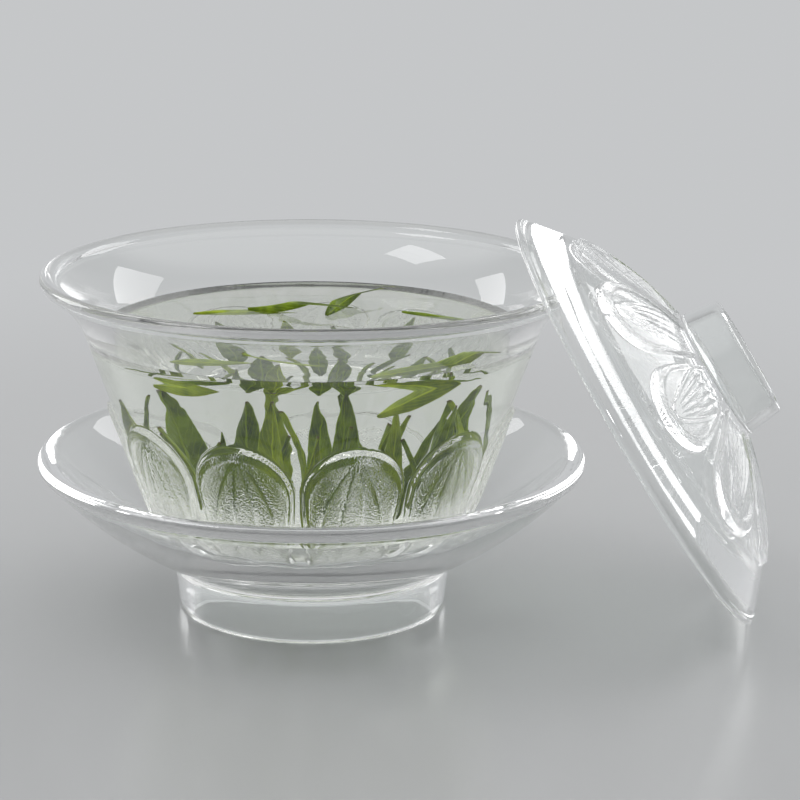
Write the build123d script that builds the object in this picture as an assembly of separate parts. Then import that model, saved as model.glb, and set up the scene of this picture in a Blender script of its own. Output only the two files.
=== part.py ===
"""Pressed-glass gaiwan: saucer on a tall hollow foot, flared bowl with lotus petals in relief,
and a domed lid with a ring knob that leans against the bowl. Millimetres, +Z up, origin at the
centre of the saucer's foot on the table, +X towards the leaning lid."""
from build123d import *
import math
import os

os.makedirs("parts", exist_ok=True)

# ---------------------------------------------------------------- driving dimensions
SAUCER_RADIUS = 51.8          # widest point of the saucer's lip
SAUCER_HEIGHT = 30.4          # table to the top of the lip
LIP_HEIGHT = 2.6              # lip from its lower crease to its top
LIP_WIDTH = 3.6
SAUCER_WALL = 3.2
FOOT_HEIGHT = 9.4             # straight part of the saucer's foot
FOOT_RADIUS = 25.3            # at the table
FOOT_FLARE = 1.1              # the foot is this much wider where it meets the dish
FOOT_WALL = 3.3
FOOT_EDGE = 0.5               # rounding of the foot's bottom edges
DISH_FLOOR = 12.5             # height of the flat the bowl stands on
WELL_DEPTH = 1.6              # shallow recess that holds the bowl's foot
WELL_CLEARANCE = 0.9

BOWL_HEIGHT = 52.6            # bowl's foot to the top of its lip
BOWL_RADIUS = 50.6            # widest point of the bowl's lip
BOWL_WALL = 3.0
BEAD_RADIUS = 1.35            # rounded lip
BEAD_DROP = 2.45              # top of the lip down to the crease under it
FLARE_RADIUS = 17.5           # hollow curve under the lip
FLARE_START = 11.6            # lip top down to where the curve starts
BOWL_BASE_RADIUS = 31.3       # where the straight wall meets the rounded base
BOWL_BASE_HEIGHT = 9.0        # ... and its height over the bowl's foot
RING_RADIUS = 22.5            # bowl's own foot ring
RING_HEIGHT = 2.6
RING_WALL = 3.0
RING_RECESS = 1.6
FLOOR_THICKNESS = 3.4

LID_RADIUS = 43.7             # outside of the lid's rim
LID_EDGE = 0.8                # radius of its rounded rim
LID_WALL = 2.6
CROWN_HEIGHT = 17.3           # crown over the middle of the rim
SHOULDER_RADIUS = 35.8        # where the dome turns into the steeper skirt
SHOULDER_HEIGHT = 6.9
KNOB_TOP = 24.6               # top of the ring knob over the middle of the rim
KNOB_BASE_RADIUS = 12.8
KNOB_TOP_RADIUS = 12.0
KNOB_WALL = 1.9
KNOB_ROOT = 1.1               # bevel round the knob's foot
LEAN_ANGLE = 58.0             # lid's axis from upright
LEAN_CLEARANCE = 0.3          # left between the lid's inside and the bowl's lip

PETAL_RISE = 0.45             # petal's field over the glass
RIDGE_RISE = 0.95             # raised border over the glass
BOWL_PETALS = 11
BOWL_PETAL_TIP = 28.1         # tip over the bowl's foot
BOWL_PETAL_FOOT = 4.6
BOWL_PETAL_WIDTH = 18.4
LID_PETALS = 9
LID_PETAL_TIP = 35.3          # tip from the lid's axis
LID_PETAL_WIDTH = 16.8
BORDER_WIDTH = 1.5
TIP_BAND = 2.3                # border is wider at the tip
ROOT = 0.7                    # depth to which a petal is rooted in the glass
# share of the petal's height, share of its half width
BOWL_OUTLINE = [(0, 0.75), (0.38, 0.91), (0.62, 1.0), (0.80, 0.90), (0.91, 0.67)]
LID_OUTLINE = [(0, 0.39), (0.35, 0.76), (0.53, 0.93), (0.69, 1.0), (0.84, 0.89), (0.93, 0.64)]


# ---------------------------------------------------------------- helpers
def p(r, z):
    """A point of a turned profile: radius and height."""
    return (r, 0, z)


def turned(edges):
    """A solid of revolution about Z from a closed run of profile edges."""
    return revolve(make_face(edges), Axis.Z)


def line(*pts):
    """Straight edges through the points, one after the other."""
    return [Line(a, b) for a, b in zip(pts, pts[1:])]


def leaf(outline, half, foot, tip):
    """Face of one petal, foot to tip along +Y. outline gives the share of the half width
    reached at a share of the height; the tip is rounded."""
    length = tip - foot
    run = [(w * half, foot + t * length) for t, w in outline] + [(0, tip)]
    right = Spline(*run, tangents=[(0.1, 1), (-1, 0)])
    left = mirror(right, Plane.YZ)
    return make_face([right, left, Line(left @ 0, right @ 0)])


def petal(outline, skin, place, half, foot, tip):
    """One petal in relief: a low field inside a raised border. skin(rise) is the glass surface
    raised by rise, as a full solid, and place(face) turns a flat face into a prism standing
    through that surface."""
    whole = leaf(outline, half, foot, tip)
    field = leaf(outline, half - BORDER_WIDTH, foot - 1, tip - TIP_BAND)
    raised = (skin(PETAL_RISE) & place(whole)) + (skin(RIDGE_RISE) & place(whole - field))
    # only a thin root is kept under the surface, which fuses the petal to the glass
    return raised - skin(-ROOT)


# ---------------------------------------------------------------- saucer
def build_saucer():
    top_r = FOOT_RADIUS + FOOT_FLARE
    lip_low = SAUCER_HEIGHT - LIP_HEIGHT
    # underside of the dish, from the foot to the crease under the lip
    a = p(top_r + 0.6, FOOT_HEIGHT + 0.3)
    b = p(SAUCER_RADIUS - 0.7, lip_low)
    mx = (a[0] + b[0]) / 2
    mz = (a[2] + b[2]) / 2
    span = math.dist(a, b)
    nx = (b[2] - a[2]) / span
    nz = -(b[0] - a[0]) / span
    belly = 1.4
    under = ThreePointArc(a, p(mx + belly * nx, mz + belly * nz), b)
    # lip: one rounded run from the crease under it, over the top, to the inside
    outmost = p(SAUCER_RADIUS, lip_low + LIP_HEIGHT * 0.5)
    crest = p(SAUCER_RADIUS - LIP_WIDTH * 0.42, SAUCER_HEIGHT)
    inner_top = p(SAUCER_RADIUS - LIP_WIDTH, SAUCER_HEIGHT - 0.75)
    lip = Spline(b, outmost, crest, inner_top, tangents=[(0.8, 0, 0.6), (0, 0, 1), (-1, 0, 0), (-0.75, 0, -0.65)])
    # inside of the dish, a wall's thickness over the underside
    well_r = RING_RADIUS + WELL_CLEARANCE
    ledge = DISH_FLOOR + WELL_DEPTH
    c = p(well_r + 2.6, ledge)
    k = SAUCER_WALL
    inside = ThreePointArc(inner_top, p(mx + (belly - 0.2) * nx - k * nx, mz + (belly - 0.2) * nz - k * nz), c)
    # hollow foot
    ceil_z = FOOT_HEIGHT - 0.8
    foot_in = FOOT_RADIUS - FOOT_WALL
    e = FOOT_EDGE
    edges = [under, lip, inside]
    edges += line(c, p(well_r, ledge), p(well_r - 0.3, DISH_FLOOR), p(0, DISH_FLOOR), p(0, ceil_z))
    edges += line(p(0, ceil_z), p(foot_in - 2.0, ceil_z), p(foot_in - 0.4, ceil_z - 1.6), p(foot_in, e))
    edges += line(p(foot_in, e), p(foot_in + e, 0), p(FOOT_RADIUS - e, 0), p(FOOT_RADIUS, e))
    edges += line(p(FOOT_RADIUS, e), p(top_r, FOOT_HEIGHT - 0.4), a)
    return turned(edges)


# ---------------------------------------------------------------- bowl
BOWL_Z = DISH_FLOOR
LIP_Z = BOWL_Z + BOWL_HEIGHT
WALL_TOP = LIP_Z - FLARE_START
BASE_Z = BOWL_Z + BOWL_BASE_HEIGHT
CREASE = (BOWL_RADIUS - 0.75, LIP_Z - BEAD_DROP)


def wall_line():
    """The straight wall (lower and upper end) and the centre of the hollow curve it runs into,
    set so that the curve also passes through the crease under the lip."""
    lo = (BOWL_BASE_RADIUS, BASE_Z)
    r_top = BOWL_BASE_RADIUS
    for _ in range(60):
        slope = math.hypot(r_top - lo[0], WALL_TOP - lo[1])
        d = ((r_top - lo[0]) / slope, (WALL_TOP - lo[1]) / slope)
        centre = (r_top + FLARE_RADIUS * d[1], WALL_TOP - FLARE_RADIUS * d[0])
        miss = math.dist(centre, CREASE) - FLARE_RADIUS
        r_top = r_top - miss * 0.8
        if abs(miss) < 1e-9:
            break
    return lo, (r_top, WALL_TOP), d, centre


LOW, TOP, ALONG, FLARE_C = wall_line()
OUTWARD = (ALONG[1], -ALONG[0])


def bowl_skin(rise):
    """Outside of the bowl from its foot to the crease, moved outwards by rise, as a full solid."""
    lo = (LOW[0] + rise * OUTWARD[0], LOW[1] + rise * OUTWARD[1])
    hi = (TOP[0] + rise * OUTWARD[0], TOP[1] + rise * OUTWARD[1])
    ring_top = p(RING_RADIUS + 0.8, BOWL_Z + RING_HEIGHT - rise)
    base = ThreePointArc(ring_top, p(RING_RADIUS + 5.9 + rise * 0.6, BOWL_Z + RING_HEIGHT + 2.5 - rise * 0.8), p(*lo))
    edges = [base]
    edges += line(p(*lo), p(*hi), p(0, hi[1]), p(0, BOWL_Z + RING_HEIGHT - rise), ring_top)
    return turned(edges)


def bowl_body():
    """Outside of the bowl as a full solid, without petals."""
    e = 0.4
    ring_top = p(RING_RADIUS, BOWL_Z + RING_HEIGHT - 0.5)
    start = p(RING_RADIUS + 0.8, BOWL_Z + RING_HEIGHT)
    base = ThreePointArc(start, p(RING_RADIUS + 5.9, BOWL_Z + RING_HEIGHT + 2.5), p(*LOW))
    crease = p(*CREASE)
    a0 = math.atan2(TOP[1] - FLARE_C[1], TOP[0] - FLARE_C[0])
    a1 = math.atan2(CREASE[1] - FLARE_C[1], CREASE[0] - FLARE_C[0])
    am = (a0 + a1) / 2
    mid = p(FLARE_C[0] + FLARE_RADIUS * math.cos(am), FLARE_C[1] + FLARE_RADIUS * math.sin(am))
    flare = ThreePointArc(p(*TOP), mid, crease)
    crest = p(BOWL_RADIUS - BEAD_RADIUS, LIP_Z)
    bead = Spline(crease, p(BOWL_RADIUS, LIP_Z - BEAD_RADIUS), crest, tangents=[(0.75, 0, 0.66), (0, 0, 1), (-1, 0, 0)])
    edges = [base, *line(p(*LOW), p(*TOP)), flare, bead]
    edges += line(crest, p(0, LIP_Z), p(0, BOWL_Z), p(RING_RADIUS - e, BOWL_Z), p(RING_RADIUS, BOWL_Z + e))
    edges += line(p(RING_RADIUS, BOWL_Z + e), ring_top, start)
    return turned(edges)


def bowl_cavity():
    """The inside of the bowl, with the lip's inner rounding."""
    t = BOWL_WALL
    lo = (LOW[0] - t * OUTWARD[0], LOW[1] - t * OUTWARD[1])
    hi = (TOP[0] - t * OUTWARD[0], TOP[1] - t * OUTWARD[1])
    floor = BOWL_Z + RING_RECESS + FLOOR_THICKNESS
    over = LIP_Z + 2
    bead_in = BOWL_RADIUS - 2 * BEAD_RADIUS
    # the inner flare is struck from the same centre and ends at the lip's inner rounding
    inner_r = FLARE_RADIUS + t
    end_a = math.atan2(LIP_Z - BEAD_RADIUS - 0.3 - FLARE_C[1], bead_in - 0.5 - FLARE_C[0])
    a0 = math.atan2(hi[1] - FLARE_C[1], hi[0] - FLARE_C[0])
    end = p(bead_in - 0.5, LIP_Z - BEAD_RADIUS - 0.3)
    am = (a0 + end_a) / 2
    pull = math.dist((end[0], end[2]), FLARE_C) - inner_r
    rm = inner_r + 0.5 * pull
    flare = ThreePointArc(p(*hi), p(FLARE_C[0] + rm * math.cos(am), FLARE_C[1] + rm * math.sin(am)), end)
    crest = p(BOWL_RADIUS - BEAD_RADIUS, LIP_Z)
    rounding = Spline(end, p(bead_in + 0.25, LIP_Z - 0.45), crest, tangents=[(0.2, 0, 1), (1, 0, 0)])
    bottom = ThreePointArc(p(11.0, floor), p(21.8, floor + 1.75), p(*lo))
    edges = [bottom, *line(p(*lo), p(*hi)), flare, rounding]
    edges += line(crest, p(BOWL_RADIUS - BEAD_RADIUS, over), p(0, over), p(0, floor), p(11.0, floor))
    recess_r = RING_RADIUS - RING_WALL
    recess = line(p(0, BOWL_Z - 1), p(recess_r, BOWL_Z - 1), p(recess_r, BOWL_Z + RING_RECESS - 0.5),
                  p(recess_r - 1.0, BOWL_Z + RING_RECESS), p(0, BOWL_Z + RING_RECESS), p(0, BOWL_Z - 1))
    return turned(edges), turned(recess)


def build_bowl():
    def place(face):
        # the petal's height runs up the bowl's axis, and the prism stands out along -Y
        plane = Plane(origin=(0, -12, BOWL_Z), x_dir=(1, 0, 0), z_dir=(0, -1, 0))
        return extrude(plane * face, amount=BOWL_RADIUS)

    one = petal(BOWL_OUTLINE, bowl_skin, place, BOWL_PETAL_WIDTH / 2, BOWL_PETAL_FOOT, BOWL_PETAL_TIP)
    cavity, recess = bowl_cavity()
    body = bowl_body() - cavity - recess
    # one petal points to the back, +Y
    petals = [Rot(0, 0, 180 + i * 360 / BOWL_PETALS) * one for i in range(BOWL_PETALS)]
    return body.fuse(*petals)


# ---------------------------------------------------------------- lid, upright about its own axis
DOME_RADIUS = (SHOULDER_RADIUS ** 2 + (CROWN_HEIGHT - SHOULDER_HEIGHT) ** 2) / (2 * (CROWN_HEIGHT - SHOULDER_HEIGHT))
DOME_C = CROWN_HEIGHT - DOME_RADIUS
EDGE_C = LID_RADIUS - LID_EDGE


def skirt():
    """Ends of the outer skirt line: on the rim's rounding (touching it) and at the shoulder."""
    dx = SHOULDER_RADIUS - EDGE_C
    dz = SHOULDER_HEIGHT
    far = math.hypot(dx, dz)
    turn = math.asin(LID_EDGE / far)
    a = math.atan2(dz, dx) - turn
    d = (math.cos(a), math.sin(a))
    out = (d[1], -d[0])
    return (EDGE_C + LID_EDGE * out[0], LID_EDGE * out[1]), d, out


SKIRT, SKIRT_DIR, SKIRT_OUT = skirt()


def dome_point(r, rise):
    """Height of the dome, raised by rise, at radius r."""
    return DOME_C + math.sqrt((DOME_RADIUS + rise) ** 2 - r ** 2)


def lid_skin(rise):
    """Outside of the lid raised by rise, as a full solid from the rim's middle upwards."""
    low = p(SKIRT[0] + rise * SKIRT_OUT[0], SKIRT[1] + rise * SKIRT_OUT[1])
    sx = SHOULDER_RADIUS + rise * 0.62
    sh = p(sx, dome_point(sx, rise))
    r1 = sx / 2
    dome = ThreePointArc(sh, p(r1, dome_point(r1, rise)), p(0, CROWN_HEIGHT + rise))
    edges = line(low, sh)
    edges += [dome]
    edges += line(p(0, CROWN_HEIGHT + rise), p(0, low[2]), low)
    return turned(edges)


def lid_inside():
    """The hollow of the lid, a wall's thickness inside the dome and the skirt."""
    t = LID_WALL
    r_in = DOME_RADIUS - t
    # inner skirt: from the rim's inner rounding up to the inner dome
    foot = p(EDGE_C - LID_EDGE * 0.96, LID_EDGE * 0.2)
    sx = SHOULDER_RADIUS - t * 0.62
    sh = p(sx, DOME_C + math.sqrt(r_in ** 2 - sx ** 2))
    r1 = sx / 2
    dome = ThreePointArc(sh, p(r1, DOME_C + math.sqrt(r_in ** 2 - r1 ** 2)), p(0, DOME_C + r_in))
    edges = line(p(0, -3), p(EDGE_C - LID_EDGE * 0.96, -3), foot, sh)
    edges += [dome]
    edges += line(p(0, DOME_C + r_in), p(0, -3))
    return turned(edges)


def build_lid():
    low = p(*SKIRT)
    sh = p(SHOULDER_RADIUS, SHOULDER_HEIGHT)
    r1 = SHOULDER_RADIUS / 2
    dome = ThreePointArc(sh, p(r1, dome_point(r1, 0)), p(0, CROWN_HEIGHT))
    # the rounded rim is cut in facets, with a corner where it touches the table
    touch = LEAN_ANGLE - 90
    corners = [math.radians(a) for a in (touch - 95, touch - 45, touch, touch + 37)]
    round_it = [p(EDGE_C + LID_EDGE * math.cos(a), LID_EDGE * math.sin(a)) for a in corners]
    rim = line(p(EDGE_C - LID_EDGE, 0), *round_it, low)
    edges = [*line(low, sh), dome, *line(p(0, CROWN_HEIGHT), p(0, 0), p(EDGE_C - LID_EDGE, 0)), *rim]
    body = turned(edges)

    def place(face):
        return extrude(face, amount=CROWN_HEIGHT + 5)

    one = petal(LID_OUTLINE, lid_skin, place, LID_PETAL_WIDTH / 2, KNOB_BASE_RADIUS - 1.2, LID_PETAL_TIP)
    # one petal points to the lid's uppermost point when it leans
    petals = [Rot(0, 0, 90 + i * 360 / LID_PETALS) * one for i in range(LID_PETALS)]

    # ring knob, open at the top
    base_z = dome_point(KNOB_BASE_RADIUS, 0) - 1.2
    in_base = KNOB_BASE_RADIUS - KNOB_WALL
    in_top = KNOB_TOP_RADIUS - KNOB_WALL
    root_r = KNOB_BASE_RADIUS + KNOB_ROOT
    root_z = dome_point(root_r, 0) - 0.1
    bevel = KNOB_WALL * 0.3
    knob_edges = line(p(in_base, base_z), p(root_r, base_z), p(root_r, root_z), p(KNOB_BASE_RADIUS, root_z + KNOB_ROOT),
                      p(KNOB_TOP_RADIUS, KNOB_TOP - bevel), p(KNOB_TOP_RADIUS - bevel, KNOB_TOP),
                      p(in_top + bevel, KNOB_TOP), p(in_top, KNOB_TOP - bevel), p(in_base, base_z))
    # the knob's seam line is turned off the dome's, so that the two surfaces meet cleanly
    knob = Rot(0, 0, 7) * turned(knob_edges)
    body = body - lid_inside() + knob
    return body.fuse(*petals)


# ---------------------------------------------------------------- how the lid leans
def lean_offset():
    """Distance from the bowl's axis to the middle of the lid's rim at which the inside of the
    lid stands LEAN_CLEARANCE off the bowl's lip, with the rim's lowest point on the table."""
    a = math.radians(LEAN_ANGLE)
    n = (math.sin(a), math.cos(a))
    u = (math.cos(a), -math.sin(a))
    cz = LID_EDGE + EDGE_C * math.sin(a)
    bead_r = BOWL_RADIUS - BEAD_RADIUS
    bead_z = LIP_Z - BEAD_RADIUS
    t = LID_WALL
    sx = SHOULDER_RADIUS - t * 0.62
    sh = (sx, DOME_C + math.sqrt((DOME_RADIUS - t) ** 2 - sx ** 2))
    foot = (EDGE_C - LID_EDGE * 0.96, LID_EDGE * 0.2)
    step = math.dist(sh, foot)
    face = ((sh[0] - foot[0]) / step, (sh[1] - foot[1]) / step)

    def gap(cx):
        least = 1e9
        for i in range(0, 121):
            f = math.radians(i * 0.5)
            x = bead_r * math.cos(f) - cx
            y = bead_r * math.sin(f)
            z = bead_z - cz
            h = x * n[0] + z * n[1]
            rho = math.hypot(x * u[0] + z * u[1], y)
            # to the inner skirt, the inner dome, and the rounded rim
            s = (rho - foot[0]) * face[0] + (h - foot[1]) * face[1]
            flat = -((rho - foot[0]) * face[1] - (h - foot[1]) * face[0])
            edge = math.dist((rho, h), (EDGE_C, 0)) - LID_EDGE
            if 0 <= s <= step:
                least = min(least, flat if rho < EDGE_C else 1e9)
            elif s > step:
                least = min(least, DOME_RADIUS - t - math.dist((rho, h), (0, DOME_C)))
            if h < 0.5:
                least = min(least, edge)
        return least - BEAD_RADIUS

    near = BOWL_RADIUS - 10
    far = BOWL_RADIUS + LID_RADIUS
    for _ in range(60):
        cx = (near + far) / 2
        if gap(cx) < LEAN_CLEARANCE:
            near = cx
        else:
            far = cx
    return far, cz


LEAN_X, LEAN_Z = lean_offset()


def leaning(shape):
    return Pos(LEAN_X, 0, LEAN_Z) * Rot(0, LEAN_ANGLE, 0) * shape


# ---------------------------------------------------------------- build
saucer = build_saucer()
bowl = build_bowl()
lid = leaning(build_lid())

for name, shape in (("saucer", saucer), ("bowl", bowl), ("lid", lid)):
    solids = shape.solids()
    print(name, len(solids), "solid(s)", round(sum(s.volume for s in solids)), "mm3",
          "faces", len(shape.faces()), "valid", all(s.is_valid for s in solids))
    export_step(Compound(children=list(solids)) if len(solids) > 1 else solids[0], f"parts/{name}.step")
print("lean", round(LEAN_X, 3), round(LEAN_Z, 3), "wall", [round(v, 2) for v in (*LOW, *TOP)])
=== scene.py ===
import math
import random

import bmesh
import bpy
from mathutils import Matrix, Vector


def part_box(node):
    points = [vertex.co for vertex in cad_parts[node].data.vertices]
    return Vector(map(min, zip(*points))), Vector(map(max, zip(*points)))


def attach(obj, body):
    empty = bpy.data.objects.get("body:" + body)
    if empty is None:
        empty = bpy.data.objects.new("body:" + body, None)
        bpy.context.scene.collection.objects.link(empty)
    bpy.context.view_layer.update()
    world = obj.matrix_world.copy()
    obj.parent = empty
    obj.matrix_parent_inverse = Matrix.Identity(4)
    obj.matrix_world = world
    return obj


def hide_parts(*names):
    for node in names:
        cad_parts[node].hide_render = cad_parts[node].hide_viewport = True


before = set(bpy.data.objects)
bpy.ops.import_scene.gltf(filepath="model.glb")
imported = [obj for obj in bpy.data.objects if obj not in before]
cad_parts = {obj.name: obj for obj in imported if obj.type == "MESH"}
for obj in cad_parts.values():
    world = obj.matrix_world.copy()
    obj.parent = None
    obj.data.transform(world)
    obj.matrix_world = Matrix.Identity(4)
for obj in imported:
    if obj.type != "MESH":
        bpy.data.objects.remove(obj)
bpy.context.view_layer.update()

bl_info = {
    "name": "Glass gaiwan",
    "version": (1, 0, 0),
    "blender": (4, 5, 0),
    "location": "View3D > Sidebar > Gaiwan",
    "description": "Builds a pressed-glass gaiwan with green tea: saucer, bowl, lid, water and leaves",
    "category": "Add Mesh",
}

MM = 0.001
SAUCER_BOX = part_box("saucer")
BOWL_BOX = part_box("bowl")
LID_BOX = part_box("lid")

# sizes that no box gives, in millimetres
BEAD_RADIUS = 1.35              # rounded lip of the bowl
BEAD_DROP = 2.45                # top of the lip down to the crease under it
FLARE_RADIUS = 17.5             # hollow curve under the lip
FLARE_START = 11.6              # top of the lip down to where the curve starts
BOWL_BASE = (31.3, 9.0)         # where the straight wall meets the rounded base, over the foot
SAUCER_FOOT = 26.4              # radius of the saucer's foot where it meets the dish
LID_EDGE = 0.8                  # radius of the lid's rim
LID_SHOULDER = (35.8, 6.9)      # where the dome turns into the skirt, over the rim's middle
LID_CROWN = 17.3                # top of the dome over the rim's middle
KNOB_RADIUS, KNOB_TOP, KNOB_WALL = 12.0, 24.6, 1.9
WATER_OVERLAP = 0.06            # how far the tea reaches into the bowl's wall, so that no air is left
MENISCUS = 0.9                  # rise of the tea where it meets the wall
LEAF_THICKNESS = 0.26
LEAF_GAP = 0.6                  # least distance from a leaf to the wall

BOWL_PETALS, LID_PETALS = 11, 9
PETAL_TIP = 2.15                # power of the curve at a petal's tip; 2 would be an ellipse
ARCH_TIP, ARCH_SIDE = 2.4, 0.8  # powers of the curve that a petal's veins follow
GLASS_IOR, WATER_IOR = 1.5, 1.333
LATE = (("Glossy Depth", 2.5), ("Ray Depth", 8.5))      # light beyond these has been caught


# ------------------------------------------------------------------ settings
class GaiwanGlassSettings(bpy.types.PropertyGroup):
    """Sizes and finish of the three pressed-glass pieces."""

    bowl_wall: bpy.props.FloatProperty(
        name="Bowl wall", description="Thickness of the bowl's wall", default=3.0 * MM, min=1.5 * MM, unit="LENGTH")
    lid_wall: bpy.props.FloatProperty(
        name="Lid wall", description="Thickness of the lid's dome", default=2.6 * MM, min=1.5 * MM, unit="LENGTH")
    saucer_wall: bpy.props.FloatProperty(
        name="Saucer wall", description="Thickness of the saucer's dish", default=3.2 * MM, min=1.5 * MM, unit="LENGTH")
    ridge_rise: bpy.props.FloatProperty(
        name="Border height", description="Height of the raised border round each petal",
        default=0.95 * MM, min=0.2 * MM, unit="LENGTH")
    field_rise: bpy.props.FloatProperty(
        name="Field height", description="Height of a petal's field over the glass",
        default=0.45 * MM, min=0.0, unit="LENGTH")
    vein_rise: bpy.props.FloatProperty(
        name="Vein height", description="Height of a vein over the petal's field",
        default=0.45 * MM, min=0.0, unit="LENGTH")
    border_width: bpy.props.FloatProperty(
        name="Border width", description="Width of the border at a petal's side",
        default=1.5 * MM, min=0.5 * MM, unit="LENGTH")
    tip_band: bpy.props.FloatProperty(
        name="Border at the tip", description="Width of the border at a petal's tip",
        default=2.3 * MM, min=0.5 * MM, unit="LENGTH")
    lean: bpy.props.FloatProperty(
        name="Lean", description="Angle of the lid's axis from upright", default=math.radians(58), unit="ROTATION")
    tint: bpy.props.FloatVectorProperty(
        name="Glass tint", description="Colour of the glass", subtype="COLOR", size=3, min=0, max=1,
        default=(0.982, 0.994, 0.988))
    wave: bpy.props.FloatProperty(
        name="Surface wave", description="Depth of the soft waves that pressing leaves in the surface",
        default=0.10 * MM, min=0.0, unit="LENGTH")
    grain: bpy.props.FloatProperty(
        name="Petal grain", description="Depth of the fine grain in the petals' fields",
        default=0.42 * MM, min=0.0, unit="LENGTH")


class GaiwanTeaSettings(bpy.types.PropertyGroup):
    """The tea in the bowl."""

    level: bpy.props.FloatProperty(
        name="Level under the lip", description="Water surface below the bowl's lip", default=11.8 * MM, unit="LENGTH")
    tint: bpy.props.FloatVectorProperty(
        name="Tea tint", description="Colour of the brewed tea", subtype="COLOR", size=3, min=0, max=1,
        default=(0.985, 0.993, 0.93))
    leaf_length: bpy.props.FloatProperty(
        name="Leaf length", description="Length of a full leaf", default=24.5 * MM, unit="LENGTH")
    leaf_width: bpy.props.FloatProperty(
        name="Leaf width", description="Width of a full leaf", default=5.7 * MM, unit="LENGTH")
    seed: bpy.props.IntProperty(
        name="Seed", description="Start of the random turns and sizes of the leaves", default=7)
    deep: bpy.props.FloatVectorProperty(
        name="Deep green", description="Darkest green of the leaves", subtype="COLOR", size=3, min=0, max=1,
        default=(0.040, 0.085, 0.001))
    young: bpy.props.FloatVectorProperty(
        name="Leaf green", description="Main green of the leaves", subtype="COLOR", size=3, min=0, max=1,
        default=(0.235, 0.345, 0.003))
    light: bpy.props.FloatVectorProperty(
        name="Young green", description="Colour of buds and young leaves", subtype="COLOR", size=3, min=0, max=1,
        default=(0.38, 0.49, 0.012))


class GaiwanStudioSettings(bpy.types.PropertyGroup):
    """Floor, backdrop, lamps and camera."""

    floor: bpy.props.FloatVectorProperty(
        name="Floor", description="Colour of the floor", subtype="COLOR", size=3, min=0, max=1,
        default=(0.50, 0.505, 0.51))
    backdrop: bpy.props.FloatVectorProperty(
        name="Backdrop", description="Colour of the backdrop", subtype="COLOR", size=3, min=0, max=1,
        default=(0.56, 0.57, 0.58))
    lens: bpy.props.FloatProperty(
        name="Lens", description="Focal length on a 36 mm wide sensor, in millimetres", default=112.5)
    camera_at: bpy.props.FloatVectorProperty(
        name="Camera", description="Place of the camera", subtype="TRANSLATION", size=3,
        default=(0.0345, -0.45617, 0.16117))
    camera_to: bpy.props.FloatVectorProperty(
        name="View direction", description="Direction the camera looks in", subtype="DIRECTION", size=3,
        default=(-0.03796, 0.96585, -0.25633))
    camera_roll: bpy.props.FloatProperty(
        name="Roll", description="Turn of the camera about its view", default=0.010, unit="ROTATION")


# ------------------------------------------------------------------ small tools
def pick(obj):
    """Selects obj alone and makes it active."""
    bpy.ops.object.select_all(action="DESELECT")
    obj.select_set(True)
    bpy.context.view_layer.objects.active = obj


def named(name):
    """Names the object just made, and its mesh."""
    obj = bpy.context.active_object
    obj.name = name
    obj.data.name = name
    return obj


def apply_modifiers(obj):
    """Applies all of an object's modifiers, in order."""
    pick(obj)
    for modifier in list(obj.modifiers):
        bpy.ops.object.modifier_apply(modifier=modifier.name)


def arc(a, via, b, steps):
    """Points after a along the circle through a, via and b, ending at b."""
    ax, ay = a
    bx, by = via
    cx, cy = b
    d = 2 * (ax * (by - cy) + bx * (cy - ay) + cx * (ay - by))
    ux = ((ax * ax + ay * ay) * (by - cy) + (bx * bx + by * by) * (cy - ay) + (cx * cx + cy * cy) * (ay - by)) / d
    uy = ((ax * ax + ay * ay) * (cx - bx) + (bx * bx + by * by) * (ax - cx) + (cx * cx + cy * cy) * (bx - ax)) / d
    r = math.dist((ux, uy), a)
    t0, t1, t2 = (math.atan2(q[1] - uy, q[0] - ux) for q in (a, via, b))
    turn = (t2 - t0) % (2 * math.pi)
    if (t1 - t0) % (2 * math.pi) > turn:
        turn -= 2 * math.pi
    return [(ux + r * math.cos(t0 + turn * i / steps), uy + r * math.sin(t0 + turn * i / steps))
            for i in range(1, steps + 1)]


def run(a, b, steps=1):
    """Points after a on the straight line to b."""
    return [(a[0] + (b[0] - a[0]) * i / steps, a[1] + (b[1] - a[1]) * i / steps) for i in range(1, steps + 1)]


def turned(name, section, steps):
    """Draws the section (radius, height in millimetres) by extruding a point, and spins it about Z."""
    pick_none()
    bpy.ops.mesh.primitive_plane_add(size=MM, location=(0, 0, 0))
    obj = named(name)
    bpy.ops.object.mode_set(mode="EDIT")
    bpy.ops.mesh.select_mode(type="VERT")
    bpy.ops.mesh.select_all(action="SELECT")
    bpy.ops.mesh.merge(type="CENTER")
    bpy.ops.transform.translate(value=(section[0][0] * MM, 0, section[0][1] * MM))
    for (r0, z0), (r1, z1) in zip(section, section[1:]):
        bpy.ops.mesh.extrude_region_move(TRANSFORM_OT_translate={"value": ((r1 - r0) * MM, 0, (z1 - z0) * MM)})
    bpy.ops.mesh.select_all(action="SELECT")
    bpy.ops.mesh.spin(steps=steps, angle=2 * math.pi, center=(0, 0, 0), axis=(0, 0, 1))
    bpy.ops.mesh.select_all(action="SELECT")
    bpy.ops.mesh.remove_doubles(threshold=2e-6)
    bpy.ops.mesh.normals_make_consistent(inside=False)
    bpy.ops.object.mode_set(mode="OBJECT")
    bpy.ops.object.shade_smooth()
    return obj


def pick_none():
    """Leaves edit mode and deselects everything."""
    if bpy.context.object and bpy.context.object.mode != "OBJECT":
        bpy.ops.object.mode_set(mode="OBJECT")
    bpy.ops.object.select_all(action="DESELECT")


def step(x, lo, hi):
    """Smooth rise from 0 at lo to 1 at hi."""
    t = min(1.0, max(0.0, (x - lo) / (hi - lo)))
    return t * t * (3 - 2 * t)


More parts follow.
